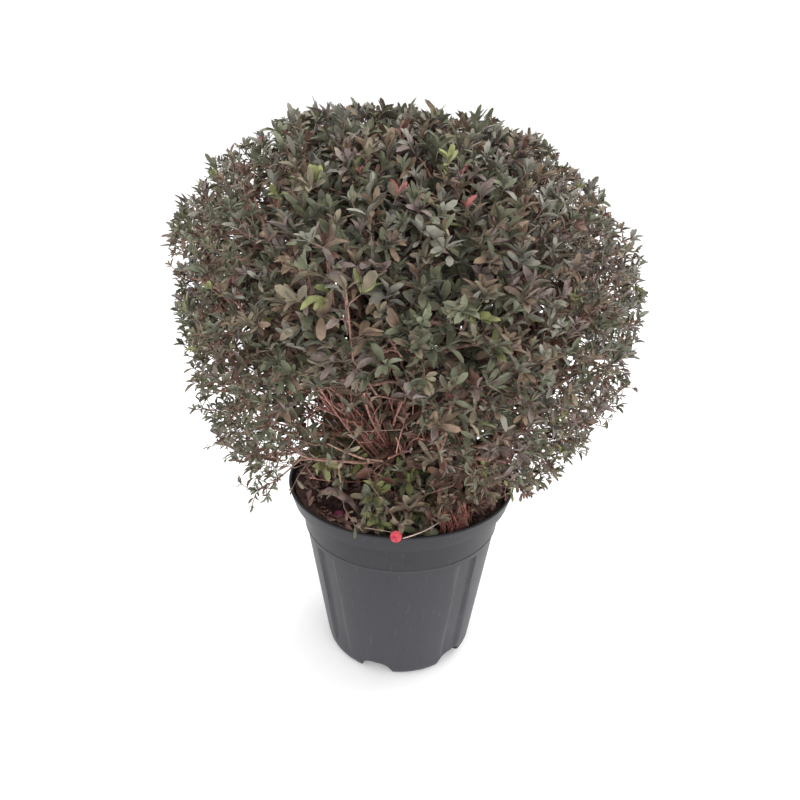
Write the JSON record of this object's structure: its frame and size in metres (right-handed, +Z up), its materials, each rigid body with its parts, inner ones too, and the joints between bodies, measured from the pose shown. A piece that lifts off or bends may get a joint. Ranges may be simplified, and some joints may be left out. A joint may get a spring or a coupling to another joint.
{
  "type": "potted azalea shrub",
  "caption": "Small-leaved evergreen azalea with a dense dome of foliage on a short trunk, in a round tapered nursery pot filled with potting mix.",
  "frame": {"origin": "middle of the pot's flat underside, where it stands on a bench", "axes": "+Z up along the pot's axis, -Y towards the viewer of the picture, +X to the viewer's right"},
  "size_m": [0.4271, 0.4021, 0.5448],
  "materials": {
    "pot": "satin moulded",
    "potting_mix": "rough",
    "bark": "rough",
    "foliage_green": "leathery",
    "foliage_bronze": "leathery"
  },
  "bodies": {
    "root": {"pot": "pot", "potting_mix": "potting_mix", "trunk": "bark", "main_stem_1": "bark", "main_stem_2": "bark", "main_stem_3": "bark", "main_stem_4": "bark", "main_stem_5": "bark", "main_stem_6": "bark", "bough_middle_1": "bark", "bough_middle_2": "bark", "bough_middle_3": "bark", "bough_middle_4": "bark", "bough_middle_5": "bark", "bough_middle_6": "bark", "bough_middle_7": "bark", "bough_skirt_1": "bark", "bough_skirt_2": "bark", "bough_skirt_3": "bark", "bough_skirt_4": "bark", "bough_skirt_5": "bark", "bough_skirt_6": "bark", "bough_skirt_7": "bark", "bough_top": "bark", "bough_upper_1": "bark", "bough_upper_2": "bark", "bough_upper_3": "bark", "bough_upper_4": "bark", "bough_upper_5": "bark", "bough_upper_6": "bark", "foliage_middle_1": "foliage_green", "foliage_middle_2": "foliage_bronze", "foliage_middle_3": "foliage_bronze", "foliage_middle_4": "foliage_bronze", "foliage_middle_5": "foliage_green", "foliage_middle_6": "foliage_green", "foliage_middle_7": "foliage_green", "foliage_skirt_1": "foliage_green", "foliage_skirt_2": "foliage_bronze", "foliage_skirt_3": "foliage_green", "foliage_skirt_4": "foliage_green", "foliage_skirt_5": "foliage_green", "foliage_skirt_6": "foliage_green", "foliage_skirt_7": "foliage_green", "foliage_top": "foliage_bronze", "foliage_upper_1": "foliage_green", "foliage_upper_2": "foliage_bronze", "foliage_upper_3": "foliage_bronze", "foliage_upper_4": "foliage_bronze", "foliage_upper_5": "foliage_green", "foliage_upper_6": "foliage_green", "low_shoot_1": "foliage_green", "low_shoot_2": "foliage_green", "low_shoot_3": "foliage_green", "low_shoot_4": "foliage_green", "low_shoot_5": "foliage_green"}
  },
  "joints": []
}
